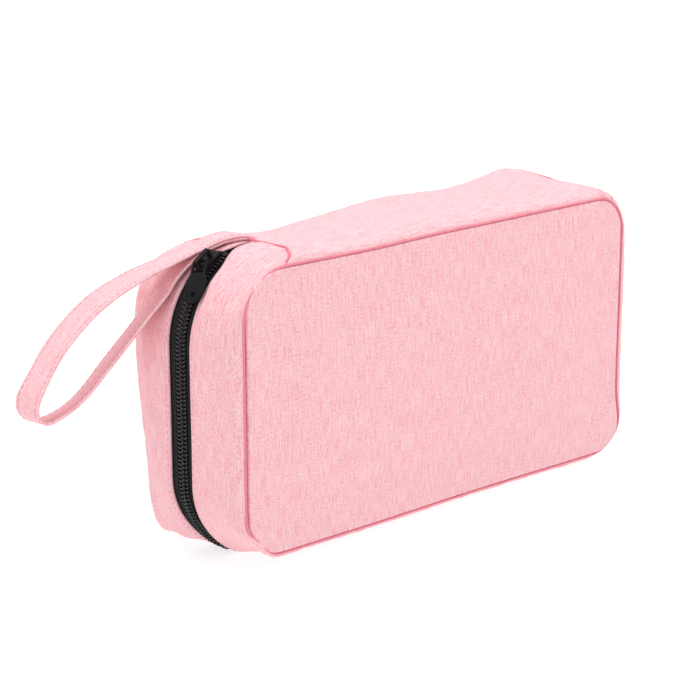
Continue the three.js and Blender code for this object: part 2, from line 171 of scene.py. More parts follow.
CAMERA_TARGET = Vector((-27, 0, 75)) * MM
CAMERA_DISTANCE = 902 * MM
CAMERA_AZIMUTH, CAMERA_ELEVATION = -43, 16
CAMERA_LENS = 102.86
CAMERA_SENSOR = 36
LAMPS = {
    "key": ((0.5, -1.1, 1.5), 1.2, 10),
    "top": ((-0.2, 0.4, 1.7), 1.4, 17.5),
    "fill": ((-1.5, -0.1, 0.7), 1.0, 2),
}  # place, size and power in watts
LAMP_AIM = Vector((0, 0, 0.06))
WORLD_STRENGTH = 0.62
FLOOR_GLOW = 0.76
FLOOR_REACH = 4.0

# ---- Outline ----


def outline(y, inset):
    """The side view at that y, moved inwards by an inset."""
    share = min(1.0, FULLNESS * math.sqrt(max(0.0, 1 - (y / SEAM_Y) ** 2)))
    mixed = {key: SEAM[key] + (ZIP[key] - SEAM[key]) * share for key in SEAM}
    return {key: size + (inset if key == "bottom" else -inset) for key, size in mixed.items()}


def corner_radius(shape, corner):
    end, high, _ = corner
    if not high:
        return shape["low_r"]
    return shape["left_r"] if end == LEFT else shape["right_r"]


def corner_point(corner, turn, y, inset):
    end, high, start = corner
    shape = outline(y, inset)
    radius = corner_radius(shape, corner)
    x = end * (shape["half"] - radius)
    z = shape["top"] - radius if high else shape["bottom"] + radius
    angle = math.radians(start + 90 * turn)
    return np.array((x + radius * math.cos(angle), y, z + radius * math.sin(angle)))


def on_outline(place, y, inset):
    """A point of the outline. Even runs of place are its corners and odd ones its straights."""
    run = int(place)
    part = place - run
    corner = CORNERS[run // 2 % 4]
    if run % 2 == 0:
        return corner_point(corner, part, y, inset)
    near = corner_point(corner, 1, y, inset)
    far = corner_point(CORNERS[(run // 2 + 1) % 4], 0, y, inset)
    return near + (far - near) * part


def run_lengths():
    """The length of each run at the zip, once round and on to the first corner's far end."""
    lengths = []
    for run in range(9):
        if run % 2:
            lengths.append(float(np.linalg.norm(on_outline(run + 1, 0, 0) - on_outline(run, 0, 0))))
        else:
            lengths.append(corner_radius(ZIP, CORNERS[run // 2 % 4]) * math.pi / 2)
    return lengths


ALONG = np.concatenate([[0], np.cumsum(run_lengths())])  # length at the start of each run
RUNS = range(len(ALONG))


def places(start, stop, step):
    """Places evenly along the outline from one place to another, and their lengths along it."""
    ends = np.interp([start, stop], RUNS, ALONG)
    count = int(round((ends[1] - ends[0]) / step)) + 1
    lengths = np.linspace(ends[0], ends[1], count)
    return np.interp(lengths, ALONG, RUNS), lengths


def corner_place(run, degrees):
    return run + (degrees - CORNERS[run // 2][2]) / 90


# ---- Shape of the slack cloth ----


def smooth(value, low, high):
    t = np.clip((value - low) / (high - low), 0, 1)
    return t * t * (3 - 2 * t)


def bell(value, centre, width):
    return np.exp(-(((value - centre) / width) ** 2))


TOP_SAGS = [
    (-48, 30, -0.5, -6.2),
    (-5, 26, 0.2, -3.0),
    (62, 30, 0.2, -3.2),
]  # x and width of a sag of the top, and its height at the front and the rear, in mm

# Places where the cloth is pushed out or in: x, z and width of the spot, the y where the push
# starts and where it is full, and the push along x and z. All in mm.
PUSHES = {
    "full top corner at the rear": (112, 130, 15, -8, 30, 1.5, 2.5),
    "dent under the strap": (-100, 128, 26, 2, 36, 2.3, -4.0),
    "square foot at the rear": (-114, 7, 15, 6, 24, -1.5, -6.0),
    "low zip at its lower left corner": (-97, 5, 13, -16, -4, 0.0, -3.0),
    "panel corner caught up in the seam": (-115, 8, 9, -29, -35, 3.2, 3.0),
    "full lower right corner": (118, 15, 13, 0, -30, 3.0, 0.0),
}
FOOT_RISE = 3.6  # the front of the underside lifts at its left end, in mm
FOOT_ARCH = {"x": 20, "width": 60, "rise": 2.0}  # and along its middle
REAR_TUCK = 6.6  # the rear leans in at its lower left end, in mm


def settle(points):
    """Lets the pouch sag, lean and bulge a little, as cloth over foam does."""
    x, y, z = points[..., 0], points[..., 1], points[..., 2]
    high = smooth(z, 100 * MM, 130 * MM)
    back = smooth(y, -SEAM_Y, SEAM_Y)
    moved = points.copy()
    for centre, width, front, rear in TOP_SAGS:
        sag = bell(x, centre * MM, width * MM) * high
        moved[..., 2] += sag * (front + (rear - front) * back) * MM
    for at_x, at_z, width, start, full, push_x, push_z in PUSHES.values():
        square = (x / MM - at_x) ** 2 + (z / MM - at_z) ** 2
        weight = np.exp(-square / width**2) * smooth(y, start * MM, full * MM)
        moved[..., 0] += weight * push_x * MM
        moved[..., 2] += weight * push_z * MM
    arch = bell(x / MM, FOOT_ARCH["x"], FOOT_ARCH["width"]) * FOOT_ARCH["rise"]
    foot = (FOOT_RISE * (1 - smooth(x, -112 * MM, 40 * MM)) + arch) * (1 - smooth(z, 0, 46 * MM))
    tuck = (1 - smooth(z, 0, 95 * MM)) * (1 - smooth(x, -115 * MM, -70 * MM))
    moved[..., 0] += tuck * smooth(y, 6 * MM, 34 * MM) * REAR_TUCK * MM
    moved[..., 2] += foot * (1 - smooth(y, -32 * MM, -8 * MM)) * MM
    moved[..., 2] = np.maximum(moved[..., 2], CAD_BOX[0][2])
    return moved


def wrinkle(u, v, seed):
    """Smooth noise between -1 and 1 at each pair of values."""
    pairs = np.stack(np.broadcast_arrays(u, v), -1).reshape(-1, 2)
    values = [noise.noise(Vector((a, b, seed))) for a, b in pairs]
    return np.array(values).reshape(np.broadcast(u, v).shape)


def round_edge(distance, radius, share=1.0, least=0.0):
    """The height of a quarter circle at each distance from an edge, from 0 up to 1."""
    turned = share * (1 - np.clip(distance / radius, 0, 1)) ** 2
    return np.sqrt(np.maximum(1 - turned, least))


def squarish(wave, power):
    """A sine or cosine with flatter tops, for a rounded box."""
    return np.sign(wave) * np.abs(wave) ** power


def once_round(count):
    return np.linspace(0, 2 * math.pi, count, endpoint=False)


def track(line):
    """The length along a line, at each of its points."""
    return np.concatenate([[0], np.cumsum(np.linalg.norm(np.diff(line, axis=0), axis=1))])


def directions(line):
    """The unit direction along a line, at each of its points."""
    steps = np.gradient(line, axis=0)
    return steps / np.linalg.norm(steps, axis=1, keepdims=True)


def cloth_map(across, along):
    """Where each point of a grid is on its flat cloth."""
    return np.stack(np.broadcast_arrays(across[None, :], along[:, None]), -1)


def grid_normals(grid):
    along = np.gradient(grid, axis=0)
    across = np.gradient(grid, axis=1)
    normals = np.cross(along, across)
    return normals / np.maximum(np.linalg.norm(normals, axis=-1, keepdims=True), 1e-12)


# ---- Mesh builders ----


def add_object(name, data):
    thing = bpy.data.objects.new(name, data)
    bpy.context.scene.collection.objects.link(thing)
    return thing


def fit(piece, body, slot, *nodes):
    """Fixes a piece to a body, and hides the CAD nodes it stands for. The slot is not used."""
    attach(piece, body)
    if nodes:
        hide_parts(*nodes)


def new_piece(name, points, faces, cloth, material):
    mesh = bpy.data.meshes.new(name)
    mesh.from_pydata(np.asarray(points).reshape(-1, 3).tolist(), [], faces)
    mesh.materials.append(material)
    if cloth is not None:
        flat = np.asarray(cloth, np.float32).reshape(-1, 2)
        values = np.concatenate([flat, np.zeros((len(flat), 1), np.float32)], 1)
        attribute = mesh.attributes.new("cloth", "FLOAT_VECTOR", "POINT")
        attribute.data.foreach_set("vector", values.ravel())
    mesh.shade_smooth()
    mesh.set_sharp_from_angle(angle=math.radians(60))
    return add_object(name, mesh)


def faces_out(points, faces):
    """The same faces, turned so that a closed body's faces look outwards."""
    points = np.asarray(points).reshape(-1, 3)
    volume = 0.0
    for face in faces:
        a = points[face[0]]
        for k in range(1, len(face) - 1):
            volume += a @ np.cross(points[face[k]], points[face[k + 1]])
    return faces if volume > 0 else [face[::-1] for face in faces]


def loft(name, rings, cloth, material):
    """A closed body through equal rings of points, each ring out along one side and back."""
    count, around = rings.shape[:2]
    index = np.arange(count * around).reshape(count, around)
    beside = np.roll(index, -1, axis=1)
    faces = np.stack([index[:-1], index[1:], beside[1:], beside[:-1]], -1).reshape(-1, 4).tolist()
    for j in range(around // 2 - 1):
        rung = [j, j + 1, around - 2 - j, around - 1 - j]
        faces.append(rung)
        faces.append([(count - 1) * around + k for k in reversed(rung)])
    return new_piece(name, rings, faces_out(rings, faces), cloth, material)


def shell(name, outer, inner, cloth, material):
    """A closed pad between an outer and an inner grid of the same size."""
    rings = np.concatenate([outer, inner[:, ::-1]], axis=1)
    both = np.concatenate([cloth, cloth[:, ::-1]], axis=1)
    return loft(name, rings, both, material)


def tube_points(path, radius, sides):
    """Rings of points round a path, with the rings kept from twisting."""
    path = np.asarray(path)
    tangents = directions(path)
    start = np.array((0, 0, 1.0)) if abs(tangents[0][2]) < 0.9 else np.array((1.0, 0, 0))
    normal = start - tangents[0] * (start @ tangents[0])
    rings = []
    angles = once_round(sides)
    for point, tangent in zip(path, tangents):
        normal = normal - tangent * (normal @ tangent)
        normal /= np.linalg.norm(normal)
        binormal = np.cross(tangent, normal)
        ring = np.outer(np.cos(angles), normal) + np.outer(np.sin(angles), binormal)
        rings.append(point + radius * ring)
    return np.array(rings)


def tubes(name, paths, radius, sides, material):
    """Many closed tubes in one mesh."""
    points, faces, cloth = [], [], []
    total = 0
    for path in paths:
        rings = tube_points(path, radius, sides)
        count = len(rings)
        index = np.arange(count * sides).reshape(count, sides) + total
        beside = np.roll(index, -1, axis=1)
        sheet = np.stack([index[:-1], beside[:-1], beside[1:], index[1:]], -1)
        faces += sheet.reshape(-1, 4).tolist()
        faces.append(index[0][::-1].tolist())
        faces.append(index[-1].tolist())
        points.append(rings.reshape(-1, 3))
        lengths = np.arange(count * sides) // sides
        cloth.append(np.stack([np.arange(count * sides) % sides, lengths], 1) * radius)
        total += count * sides
    return new_piece(name, np.concatenate(points), faces, np.concatenate(cloth), material)


def stitch_paths(line, outward):
    """One short path for each stitch along a line, standing proud in its middle."""
    lengths = track(line)
    pitch = STITCH + STITCH_GAP
    paths = []
    for number in range(int(lengths[-1] / pitch)):
        at = number * pitch + np.linspace(0, STITCH, len(STITCH_BOW))
        point = np.stack([np.interp(at, lengths, line[:, k]) for k in range(3)], 1)
        out = np.stack([np.interp(at, lengths, outward[:, k]) for k in range(3)], 1)
        paths.append(point + out * STITCH_BOW[:, None])
    return paths


# ---- Materials ----


class Nodes:
    """A small helper that adds shader nodes to one material and joins them."""

    def __init__(self, name, roughness):
        self.material = bpy.data.materials.new(name)
        self.material.use_nodes = True
        self.tree = self.material.node_tree
        self.shader = self.tree.nodes["Principled BSDF"]
        self.level("Roughness", roughness)

    def add(self, kind, inputs=None, **settings):
        node = self.tree.nodes.new(kind)
        for key, value in settings.items():
            setattr(node, key, value)
        for key, value in (inputs or {}).items():
            self.set(node.inputs[key], value)
        return node

    def level(self, name, value):
        self.shader.inputs[name].default_value = value

    def base(self, factor, stops):
        self.set(self.shader.inputs["Base Color"], self.ramp(factor, stops))

    def set(self, socket, value):
        if isinstance(value, bpy.types.NodeSocket):
            self.tree.links.new(value, socket)
        else:
            socket.default_value = value

    def maths(self, operation, a, b=0.0):
        node = self.add("ShaderNodeMath", {0: a, 1: b}, operation=operation)
        return node.outputs[0]

    def noise(self, place, scale, detail, roughness):
        """Noise at a place, with its own scale along each axis."""
        node = self.add("ShaderNodeVectorMath", {0: place, 1: scale}, operation="MULTIPLY")
        inputs = {"Vector": node.outputs[0], "Scale": 1.0, "Detail": detail, "Roughness": roughness}
        return self.add("ShaderNodeTexNoise", inputs).outputs["Fac"]

    def ramp(self, factor, stops):
        node = self.add("ShaderNodeValToRGB", {"Fac": factor})
        elements = node.color_ramp.elements
        while len(elements) < len(stops):
            elements.new(0.5)
        for element, (position, colour) in zip(elements, stops):
            element.position = position
            element.color = (*colour, 1)
        return node.outputs["Color"]

    def bump(self, height, strength, distance):
        inputs = {"Height": height, "Strength": strength, "Distance": distance}
        node = self.add("ShaderNodeBump", inputs)
        self.set(self.shader.inputs["Normal"], node.outputs["Normal"])

    def cloth(self):
        return self.add("ShaderNodeAttribute", attribute_name="cloth").outputs["Vector"]

    def weave(self, cloth, pitch):
        """A plain weave's height: two crossing rows of threads."""
        turn = 2 * math.pi / pitch
        parts = self.add("ShaderNodeSeparateXYZ", {0: cloth})
        warp = self.maths("SINE", self.maths("MULTIPLY", parts.outputs[0], turn))
        weft = self.maths("SINE", self.maths("MULTIPLY", parts.outputs[1], turn))
        return self.maths("MULTIPLY", warp, weft)


def melange_cloth():
    """Pink cloth of mixed light and dark yarns, with long slubs down the warp."""
    n = Nodes("melange_cloth", 0.9)
    cloth = n.cloth()
    warp = n.noise(cloth, (1500, 110, 1), 2, 0.6)
    grain = n.noise(cloth, (1300, 1000, 1), 2, 0.6)
    weft = n.noise(cloth, (200, 1700, 1), 2, 0.6)
    patch = n.noise(cloth, (60, 40, 1), 2, 0.5)
    yarn = n.maths("ADD", n.maths("MULTIPLY", warp, 0.38), n.maths("MULTIPLY", weft, 0.16))
    soft = n.maths("ADD", n.maths("MULTIPLY", grain, 0.42), n.maths("MULTIPLY", patch, 0.04))
    mixed = n.maths("ADD", yarn, soft)
    stops = [
        (0.4, (0.865, 0.35, 0.395)),
        (0.5, (0.90, 0.525, 0.56)),
        (0.6, (0.92, 0.64, 0.675)),
    ]
    n.base(mixed, stops)
    weave = n.weave(cloth, 0.55 * MM)
    height = n.maths("ADD", n.maths("MULTIPLY", weave, 0.35), mixed)
    n.bump(height, 0.5, 0.12 * MM)
    n.level("Sheen Weight", 0.08)
    n.level("Sheen Roughness", 0.5)
    n.level("Specular IOR Level", 0.2)
    return n.material


def plain_cloth(name, dark, light, pitch, strength=0.5):
    n = Nodes(name, 0.85)
    cloth = n.cloth()
    fleck = n.noise(cloth, (900, 900, 1), 3, 0.6)
    n.base(fleck, [(0.35, dark), (0.65, light)])
    height = n.maths("ADD", n.maths("MULTIPLY", n.weave(cloth, pitch), 0.5), fleck)
    n.bump(height, strength, 0.15 * MM)
    n.level("Specular IOR Level", 0.25)
    return n.material


def twill_tape():
    """Black zip tape with fine slanting ribs."""
    n = Nodes("twill_tape", 0.8)
    cloth = n.cloth()
    parts = n.add("ShaderNodeSeparateXYZ", {0: cloth})
    slant = n.maths("ADD", parts.outputs[0], parts.outputs[1])
    rib = n.maths("SINE", n.maths("MULTIPLY", slant, 2 * math.pi / (0.8 * MM)))
    fleck = n.noise(cloth, (1200, 1200, 1), 2, 0.5)
    mixed = n.maths("ADD", n.maths("MULTIPLY", rib, 0.2), fleck)
    n.base(mixed, [(0.3, (0.006, 0.006, 0.007)), (0.75, (0.022, 0.022, 0.024))])
    n.bump(mixed, 0.6, 0.1 * MM)
    n.level("Specular IOR Level", 0.3)
    return n.material


def nylon():
    n = Nodes("nylon", 0.42)
    place = n.add("ShaderNodeTexCoord").outputs["Object"]
    fleck = n.noise(place, (900, 900, 900), 2, 0.5)
    n.base(fleck, [(0.3, (0.018, 0.018, 0.02)), (0.7, (0.05, 0.05, 0.055))])
    n.bump(fleck, 0.25, 0.05 * MM)
    return n.material


def lacquer():
    """Black lacquer on cast zinc, a little uneven."""
    n = Nodes("black_lacquer", 0.45)
    place = n.add("ShaderNodeTexCoord").outputs["Object"]
    grain = n.noise(place, (700, 700, 700), 3, 0.6)
    wear = n.noise(place, (160, 160, 160), 2, 0.5)
    n.base(wear, [(0.3, (0.004, 0.004, 0.005)), (0.75, (0.010, 0.010, 0.011))])
    rough = n.ramp(wear, [(0.3, (0.38, 0.38, 0.38)), (0.7, (0.55, 0.55, 0.55))])
    n.set(n.shader.inputs["Roughness"], rough)
    n.bump(grain, 0.2, 0.04 * MM)
    n.level("Specular IOR Level", 0.15)
    return n.material


def thread(name, dark, light):
    n = Nodes(name, 0.7)
    cloth = n.cloth()
    twist = n.noise(cloth, (4000, 2500, 1), 2, 0.5)
    n.base(twist, [(0.3, dark), (0.7, light)])
    n.bump(twist, 0.4, 0.05 * MM)
    return n.material


def studio_white():
    n = Nodes("studio_white", 0.9)
    place = n.add("ShaderNodeTexCoord").outputs["Object"]
    paper = n.noise(place, (3, 3, 3), 2, 0.5)
    n.base(paper, [(0.0, (0.37, 0.37, 0.37)), (1.0, (0.40, 0.40, 0.40))])
    n.level("Specular IOR Level", 0.0)
    n.level("Emission Color", (1, 1, 1, 1))
    n.level("Emission Strength", FLOOR_GLOW)
    return n.material


MELANGE = melange_cloth()
LINING = plain_cloth("grey_taffeta", (0.05, 0.052, 0.058), (0.09, 0.093, 0.10), 0.4 * MM)
ELASTIC = plain_cloth("dark_elastic", (0.014, 0.014, 0.017), (0.034, 0.034, 0.04), 0.7 * MM, 0.8)
NET = plain_cloth("net_yarn", (0.025, 0.027, 0.03), (0.06, 0.062, 0.068), 0.3 * MM)
TAPE = twill_tape()
NYLON = nylon()
LACQUER = lacquer()
THREAD_PINK = thread("pink_thread", (0.76, 0.34, 0.38), (0.90, 0.55, 0.59))
# Painted shade: the seam thread is a darker pink than the cloth so that the seams draw as dark lines;
# a seam is real, but its darkness stands in for the shade in the seam grooves.
THREAD_PAINTED_SHADE = thread("seam_thread_painted_shade", (0.76, 0.19, 0.26), (0.86, 0.28, 0.35))

# ---- Cloth simulation ----


def puff(grid, pinned, pressure, slack, outward, inward):
    """Blows a sheet of cloth out between its seams, and caps how far each point may go."""
    rows, columns = grid.shape[:2]
    index = np.arange(rows * columns).reshape(rows, columns)
    faces = np.stack([index[:-1, :-1], index[1:, :-1], index[1:, 1:], index[:-1, 1:]], -1)
    piece = new_piece("sheet_in_work", grid, faces.reshape(-1, 4).tolist(), None, MELANGE)
    group = piece.vertex_groups.new(name="seams")
    group.add(index[pinned].ravel().tolist(), 1.0, "REPLACE")
    modifier = piece.modifiers.new("Cloth", "CLOTH")
    settings = modifier.settings
    for key, value in CLOTH.items():
        setattr(settings, key, value)
    settings.use_pressure = True
    settings.uniform_pressure_force = pressure
    settings.shrink_min = -slack
    settings.vertex_group_mass = "seams"
    settings.effector_weights.gravity = 0
    modifier.point_cache.frame_start = 1
    modifier.point_cache.frame_end = SIM_FRAMES
    scene = bpy.context.scene
    for number in range(1, SIM_FRAMES + 1):
        scene.frame_set(number)
    evaluated = piece.evaluated_get(bpy.context.evaluated_depsgraph_get())
    moved = np.array([v.co for v in evaluated.data.vertices]).reshape(grid.shape)
    scene.frame_set(1)
    mesh = piece.data
    bpy.data.objects.remove(piece)
    bpy.data.meshes.remove(mesh)
    normals = grid_normals(grid)
    amount = np.clip(((moved - grid) * normals).sum(-1), -inward, outward)
    return grid + normals * amount[..., None]


def simulated(grid, pinned, mirrored, **puffing):
    """A mirrored one faces the other way."""
    turn = slice(None, None, -1) if mirrored else slice(None)
    pinned = np.broadcast_to(pinned, grid.shape[:2])
    return puff(grid[:, turn], pinned[:, turn], **puffing)[:, turn]


# ---- Panels ----


def edge_spaced(length, step):
    """Distances along a length, close together near both ends."""
    edge = np.array(EDGE_STEPS) * MM
    middle = length - 2 * edge[-1]
    inner = np.linspace(edge[-1], edge[-1] + middle, max(3, int(middle / step)))[1:-1]
    return np.concatenate([edge, inner, (length - edge)[::-1]])


def seam_distance(x, z, inset=0.0):
    """How far a point of a panel is inside the panel's round-cornered outline."""
    shape = outline(SEAM_Y, inset)
    centre = (shape["top"] + shape["bottom"]) / 2
    radius = np.where(z > centre, shape["left_r"], shape["low_r"])
    over_x = np.abs(x) - (shape["half"] - radius)
    over_z = np.abs(z - centre) - ((shape["top"] - shape["bottom"]) / 2 - radius)
    outside = np.hypot(np.maximum(over_x, 0), np.maximum(over_z, 0))
    return radius - outside - np.minimum(np.maximum(over_x, over_z), 0)


def panel_net(inset, step):
    """The x and z of a grid that fills the panel's outline, column by column."""
    shape = outline(SEAM_Y, inset)
    x = edge_spaced(2 * shape["half"], step) - shape["half"]

    def corner_cut(radius):
        over = np.maximum(np.abs(x) - (shape["half"] - radius), 0)
        return (radius - np.sqrt(np.maximum(radius**2 - over**2, 0)))[:, None]

    low, high = corner_cut(shape["low_r"]), corner_cut(shape["left_r"])
    rows = edge_spaced(shape["top"] - shape["bottom"], step)[None, :]
    z = shape["bottom"] + low + rows * (1 - (low + high) / rows.max())
    return np.broadcast_to(x[:, None], z.shape), z


def panel_pad(half):
    """The outer panel of one half: cloth over a foam board, rolled into the seam all round."""
    x, z = panel_net(0, 2.2 * MM)
    depth = np.clip(seam_distance(x, z), 0, None)
    roll = SEAM_ROLL * (1 - round_edge(depth, SEAM_ROLL))
    crown = PANEL_CROWN * smooth(depth, 0, 45 * MM)
    y = half * (SEAM_Y + 0.3 * MM - roll + crown)
    grid = np.stack([x, np.broadcast_to(y, x.shape), z], -1)
    blown = simulated(grid, depth < 2.0 * MM, half == REAR, **PANEL_PUFF).copy()
    near_seam = np.exp(-depth / (7 * MM)) * smooth(depth, 0, 1.5 * MM)
    pucker = wrinkle(x / (4.5 * MM), z / (4.5 * MM), SEEDS["panel pucker"] + half) * near_seam
    wave = wrinkle(x / (42 * MM), z / (30 * MM), SEEDS["panel wave"] + half)
    wave = wave * smooth(depth, 0, 14 * MM)
    blown[..., 1] += half * (PANEL_CLOTH["seam"] * pucker + PANEL_CLOTH["wave"] * wave) * MM
    middle = (SEAM["bottom"] + SEAM["top"]) / 2
    shrunk_z = middle + (z - middle) * 0.975
    inner = np.stack([x * 0.985, np.full_like(x, half * PAD_INNER_Y), shrunk_z], -1)
    cloth = np.stack([x, z], -1)
    name = HALVES[half]
    piece = shell(f"{name}_panel_pad", settle(blown), settle(inner), cloth, MELANGE)
    fit(piece, f"{name}_half", "outer_fabric", f"{name}_panel", f"{name}_foam_board")


def lining_panel(half):
    """The lining over the foam board, with the shallow creases of a light cloth."""
    x, z = panel_net(LINING_INSET, 3 * MM)
    depth = np.clip(seam_distance(x, z, LINING_INSET), 0, None)
    crease = wrinkle(x / (26 * MM), z / (18 * MM), SEEDS["lining"] + half)
    crease = crease * smooth(depth, 0, 10 * MM)
    y = half * (LINING_Y - LINING_SHEET / 2 - 0.25 * MM * (1 + crease))
    top = np.stack([x, y, z], -1)
    back = top.copy()
    back[..., 1] = half * (LINING_Y + LINING_SHEET / 2)
    name = HALVES[half]
    sheet = np.stack([x, z], -1)
    piece = shell(f"{name}_lining_sheet", settle(top), settle(back), sheet, LINING)
    fit(piece, f"{name}_half", "lining_fabric", f"{name}_lining_panel")


# ---- Bands round the zip side ----


def band_grid(stations, section, half, relief=None, closing=None):
    """A grid of points: a section of (|y|, inset) in mm carried along the outline."""
    grid = np.empty((len(stations), len(section), 3))
    for i, place in enumerate(stations):
        for j, (y, inset) in enumerate(section):
            raised = 0.0 if relief is None else relief[i, j]
            across = y if closing is None else y - closing[i, j]
            grid[i, j] = on_outline(place, half * across * MM, inset * MM - raised)
    return grid


def lip_closing(stations, y):
    """How far the lips of the two gussets close over the zip's top end, in mm."""
    degrees = 90 + 90 * np.asarray(stations)[:, None]
    shut = 1 - smooth(degrees, LIPS_SHUT_DEG, LIPS_OPEN_DEG)
    return shut * LIPS_CLOSE * (1 - smooth(y[None, :], 7.5, 24))


def section_widths(section):
    return track(np.array(section, float) * MM)


def gusset_relief(stations, lengths, half):
    """Small puckers beside the two seams of a gusset, and broad soft waves between them."""
    y, inset = (np.array(column)[None, :] for column in zip(*GUSSET_OUTER))
    along = lengths[:, None] / MM
    place = stations[:, None]
    shown = 1 - smooth(inset, -0.4, 1.0)  # what is tucked under the panel's edge stays put
    fold = bell(place, FOLD["place"], FOLD["width"]) * (half == FRONT)
    fold = fold * FOLD["rise"] * smooth(y, *FOLD["from"]) * (1 - smooth(y, *FOLD["to"]))
    end = smooth(place, 4.6, 5.2) * (1 - smooth(place, 5.8, 6.3))
    end = end * END_BULGE * bell(y, 33.3, 2.0) * shown
    lip = bell(y, 8, 4.5) * smooth(y, 7.0, 8.6)
    seam = bell(y, 33.5, 3.0) * shown
    fine = wrinkle(along / PUCKER[0], y / PUCKER[1], SEEDS["gusset pucker"] + half)
    wave = wrinkle(along / 26, y / 16, SEEDS["gusset wave"] + half) * bell(y, 21, 9)
    from_end = np.minimum(lengths - lengths[0], lengths[-1] - lengths)
    ends = smooth(from_end, 0, 4 * MM)
    puckers = (GUSSET_CLOTH["lip"] * lip + GUSSET_CLOTH["seam"] * seam) * fine
    return (puckers + GUSSET_CLOTH["wave"] * wave + fold + end) * MM * ends[:, None]


def gusset_pad(half):
    """One side of the zip: a padded strip from the panel seam to the lip over the zip tape."""
    stations, lengths = places(0, SPINE_FROM, CLOTH_STEP)
    relief = gusset_relief(stations, lengths, half)
    y = np.array([point[0] for point in GUSSET_OUTER])
    outer = band_grid(stations, GUSSET_OUTER, half, relief, lip_closing(stations, y))
    blown = simulated(outer, (y > 33) | (y < 9.5), half == REAR, **GUSSET_PUFF)
    first, last, inset = GUSSET_INNER
    inner_y = np.linspace(first, last, len(GUSSET_OUTER))
    inner_section = [(y_in, inset) for y_in in inner_y]
    inner = band_grid(stations, inner_section, half, None, lip_closing(stations, inner_y))
    cloth = cloth_map(section_widths(GUSSET_OUTER), lengths)
    name = HALVES[half]
    surface = settle(blown)
    piece = shell(f"{name}_gusset_pad", surface, settle(inner), cloth, MELANGE)
    fit(piece, f"{name}_half", "outer_fabric", f"{name}_gusset")
    lip_stitches(half, stations, surface[:, np.argmin(np.abs(y - LIP_STITCH_Y))])


def lip_stitches(half, stations, line):
    """The row of stitches along a gusset's lip, beside the zip."""
    lip = band_grid(stations, [(LIP_STITCH_Y, 0), (LIP_STITCH_Y, -1)], half)
    outward = (lip[:, 1] - lip[:, 0]) / MM
    name = HALVES[half]
    row = tubes(f"{name}_lip_stitches", stitch_paths(line, outward), THREAD, 6, THREAD_PINK)
    fit(row, f"{name}_half", "outer_fabric")


def spine_ends():
    """The places of the spine's two ends, which lap over the ends of the gussets."""
    first = SPINE_FROM - SPINE_OVERLAP / (ZIP["right_r"] * math.pi / 2)
    last = SPINE_TO + SPINE_OVERLAP / (ZIP["left_r"] * math.pi / 2)
    return first, last


def fold_spine(piece):
    """Bakes the placement of a piece of the spine into its mesh."""
    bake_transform(piece)


def spine_end_seams():
    """The thread that shows in the seams across the two ends of the spine. It stands a little proud,
    and its dark colour is painted shade of the seam grooves.
    """
    lines = []
    for place in spine_ends():
        ys = np.linspace(SPINE_SEAM["half"], -SPINE_SEAM["half"], SPINE_SEAM["points"])
        section = [(y, SPINE_SEAM["inset"]) for y in ys]
        lines.append(settle(band_grid([place], section, 1))[0])
    row = tubes("spine_end_seam_thread", lines, SEAM_THREAD["radius"], 6, THREAD_PAINTED_SHADE)
    fold_spine(row)


def spine_cover():
    """The spine: one padded strip over the top."""
    stations, lengths = places(*spine_ends(), CLOTH_STEP)
    rear = [point for point in GUSSET_OUTER if point[0] > 12.5]
    middle = [(y, 0) for y in np.linspace(12, -12, 17)]
    section = rear + middle + [(-y, inset) for y, inset in reversed(rear)]
    y = np.array([point[0] for point in section])[None, :]
    along = lengths[:, None] / MM
    from_end = np.minimum(lengths - lengths[0], lengths[-1] - lengths)[:, None] / MM
    seam = bell(np.abs(y), 33.5, 3.0)
    fine = wrinkle(along / PUCKER[0], y / PUCKER[1], SEEDS["spine pucker"])
    wave = wrinkle(along / 30, y / 24, SEEDS["spine wave"]) * smooth(from_end, 0, 12)
    relief = (SPINE_CLOTH["seam"] * seam * fine + SPINE_CLOTH["wave"] * wave) * MM
    roll = SPINE_CLOTH["roll"] * (1 - round_edge(from_end, SPINE_CLOTH["roll_width"]))
    relief = relief - roll * MM + SPINE_CLOTH["rise"] * MM * smooth(from_end, 0, 3)
    outer = band_grid(stations, section, 1, relief)
    blown = simulated(outer, (np.abs(y) > 33) | (from_end < 2), True, **SPINE_PUFF)
    last, inset = SPINE_INNER
    inner_section = [(y_in, inset) for y_in in np.linspace(last, -last, len(section))]
    inner = band_grid(stations, inner_section, 1)
    cloth = cloth_map(section_widths(section), lengths)
    piece = shell("spine_cover", settle(blown), settle(inner), cloth, MELANGE)
    fold_spine(piece)
    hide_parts("rear_spine", "front_spine", "rear_spine_foam", "front_spine_foam")


def spine_lining():
    stations, lengths = places(SPINE_FROM, SPINE_TO, 3 * MM)
    last, inset = SPINE_LINING
    y = np.linspace(last, -last, 29)
    outer = band_grid(stations, [(v, inset) for v in y], 1)
    inner = band_grid(stations, [(v, inset + LINING_SHEET / MM) for v in y], 1)
    cloth = cloth_map(y * MM, lengths)
    piece = shell("spine_lining_sheet", settle(outer), settle(inner), cloth, LINING)
    fold_spine(piece)
    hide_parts("rear_spine_lining", "front_spine_lining")


def thin_band(name, half, section, sheet, material, slot_name):
    """A thin strip along the zip's track, for the CAD node of one half with that name.

    It gives the strip, and its width and length laid flat.
    """
    stations, lengths = places(0, SPINE_FROM, 2.5 * MM)
    outer = band_grid(stations, section, half)
    inner = band_grid(stations, [(y, inset + sheet) for y, inset in section], half)
    widths = section_widths(section)
    cloth = cloth_map(widths, lengths)
    word = HALVES[half]
    piece = shell(f"{word}_{name}_sheet", settle(outer), settle(inner), cloth, material)
    fit(piece, f"{word}_half", slot_name, f"{word}_{name}")
    return piece, (float(np.ptp(widths)), float(np.ptp(lengths)))


def zip_tape(half):
    thin_band("zip_tape", half, TAPE_SECTION, TAPE_SHEET, TAPE, "zip_tape")


def gusset_lining(half):
    section = [(y, GUSSET_LINING_INSET) for y in GUSSET_LINING_Y]
    sheet = LINING_SHEET / MM
    piece, cut = thin_band("gusset_lining", half, section, sheet, LINING, "lining_fabric")


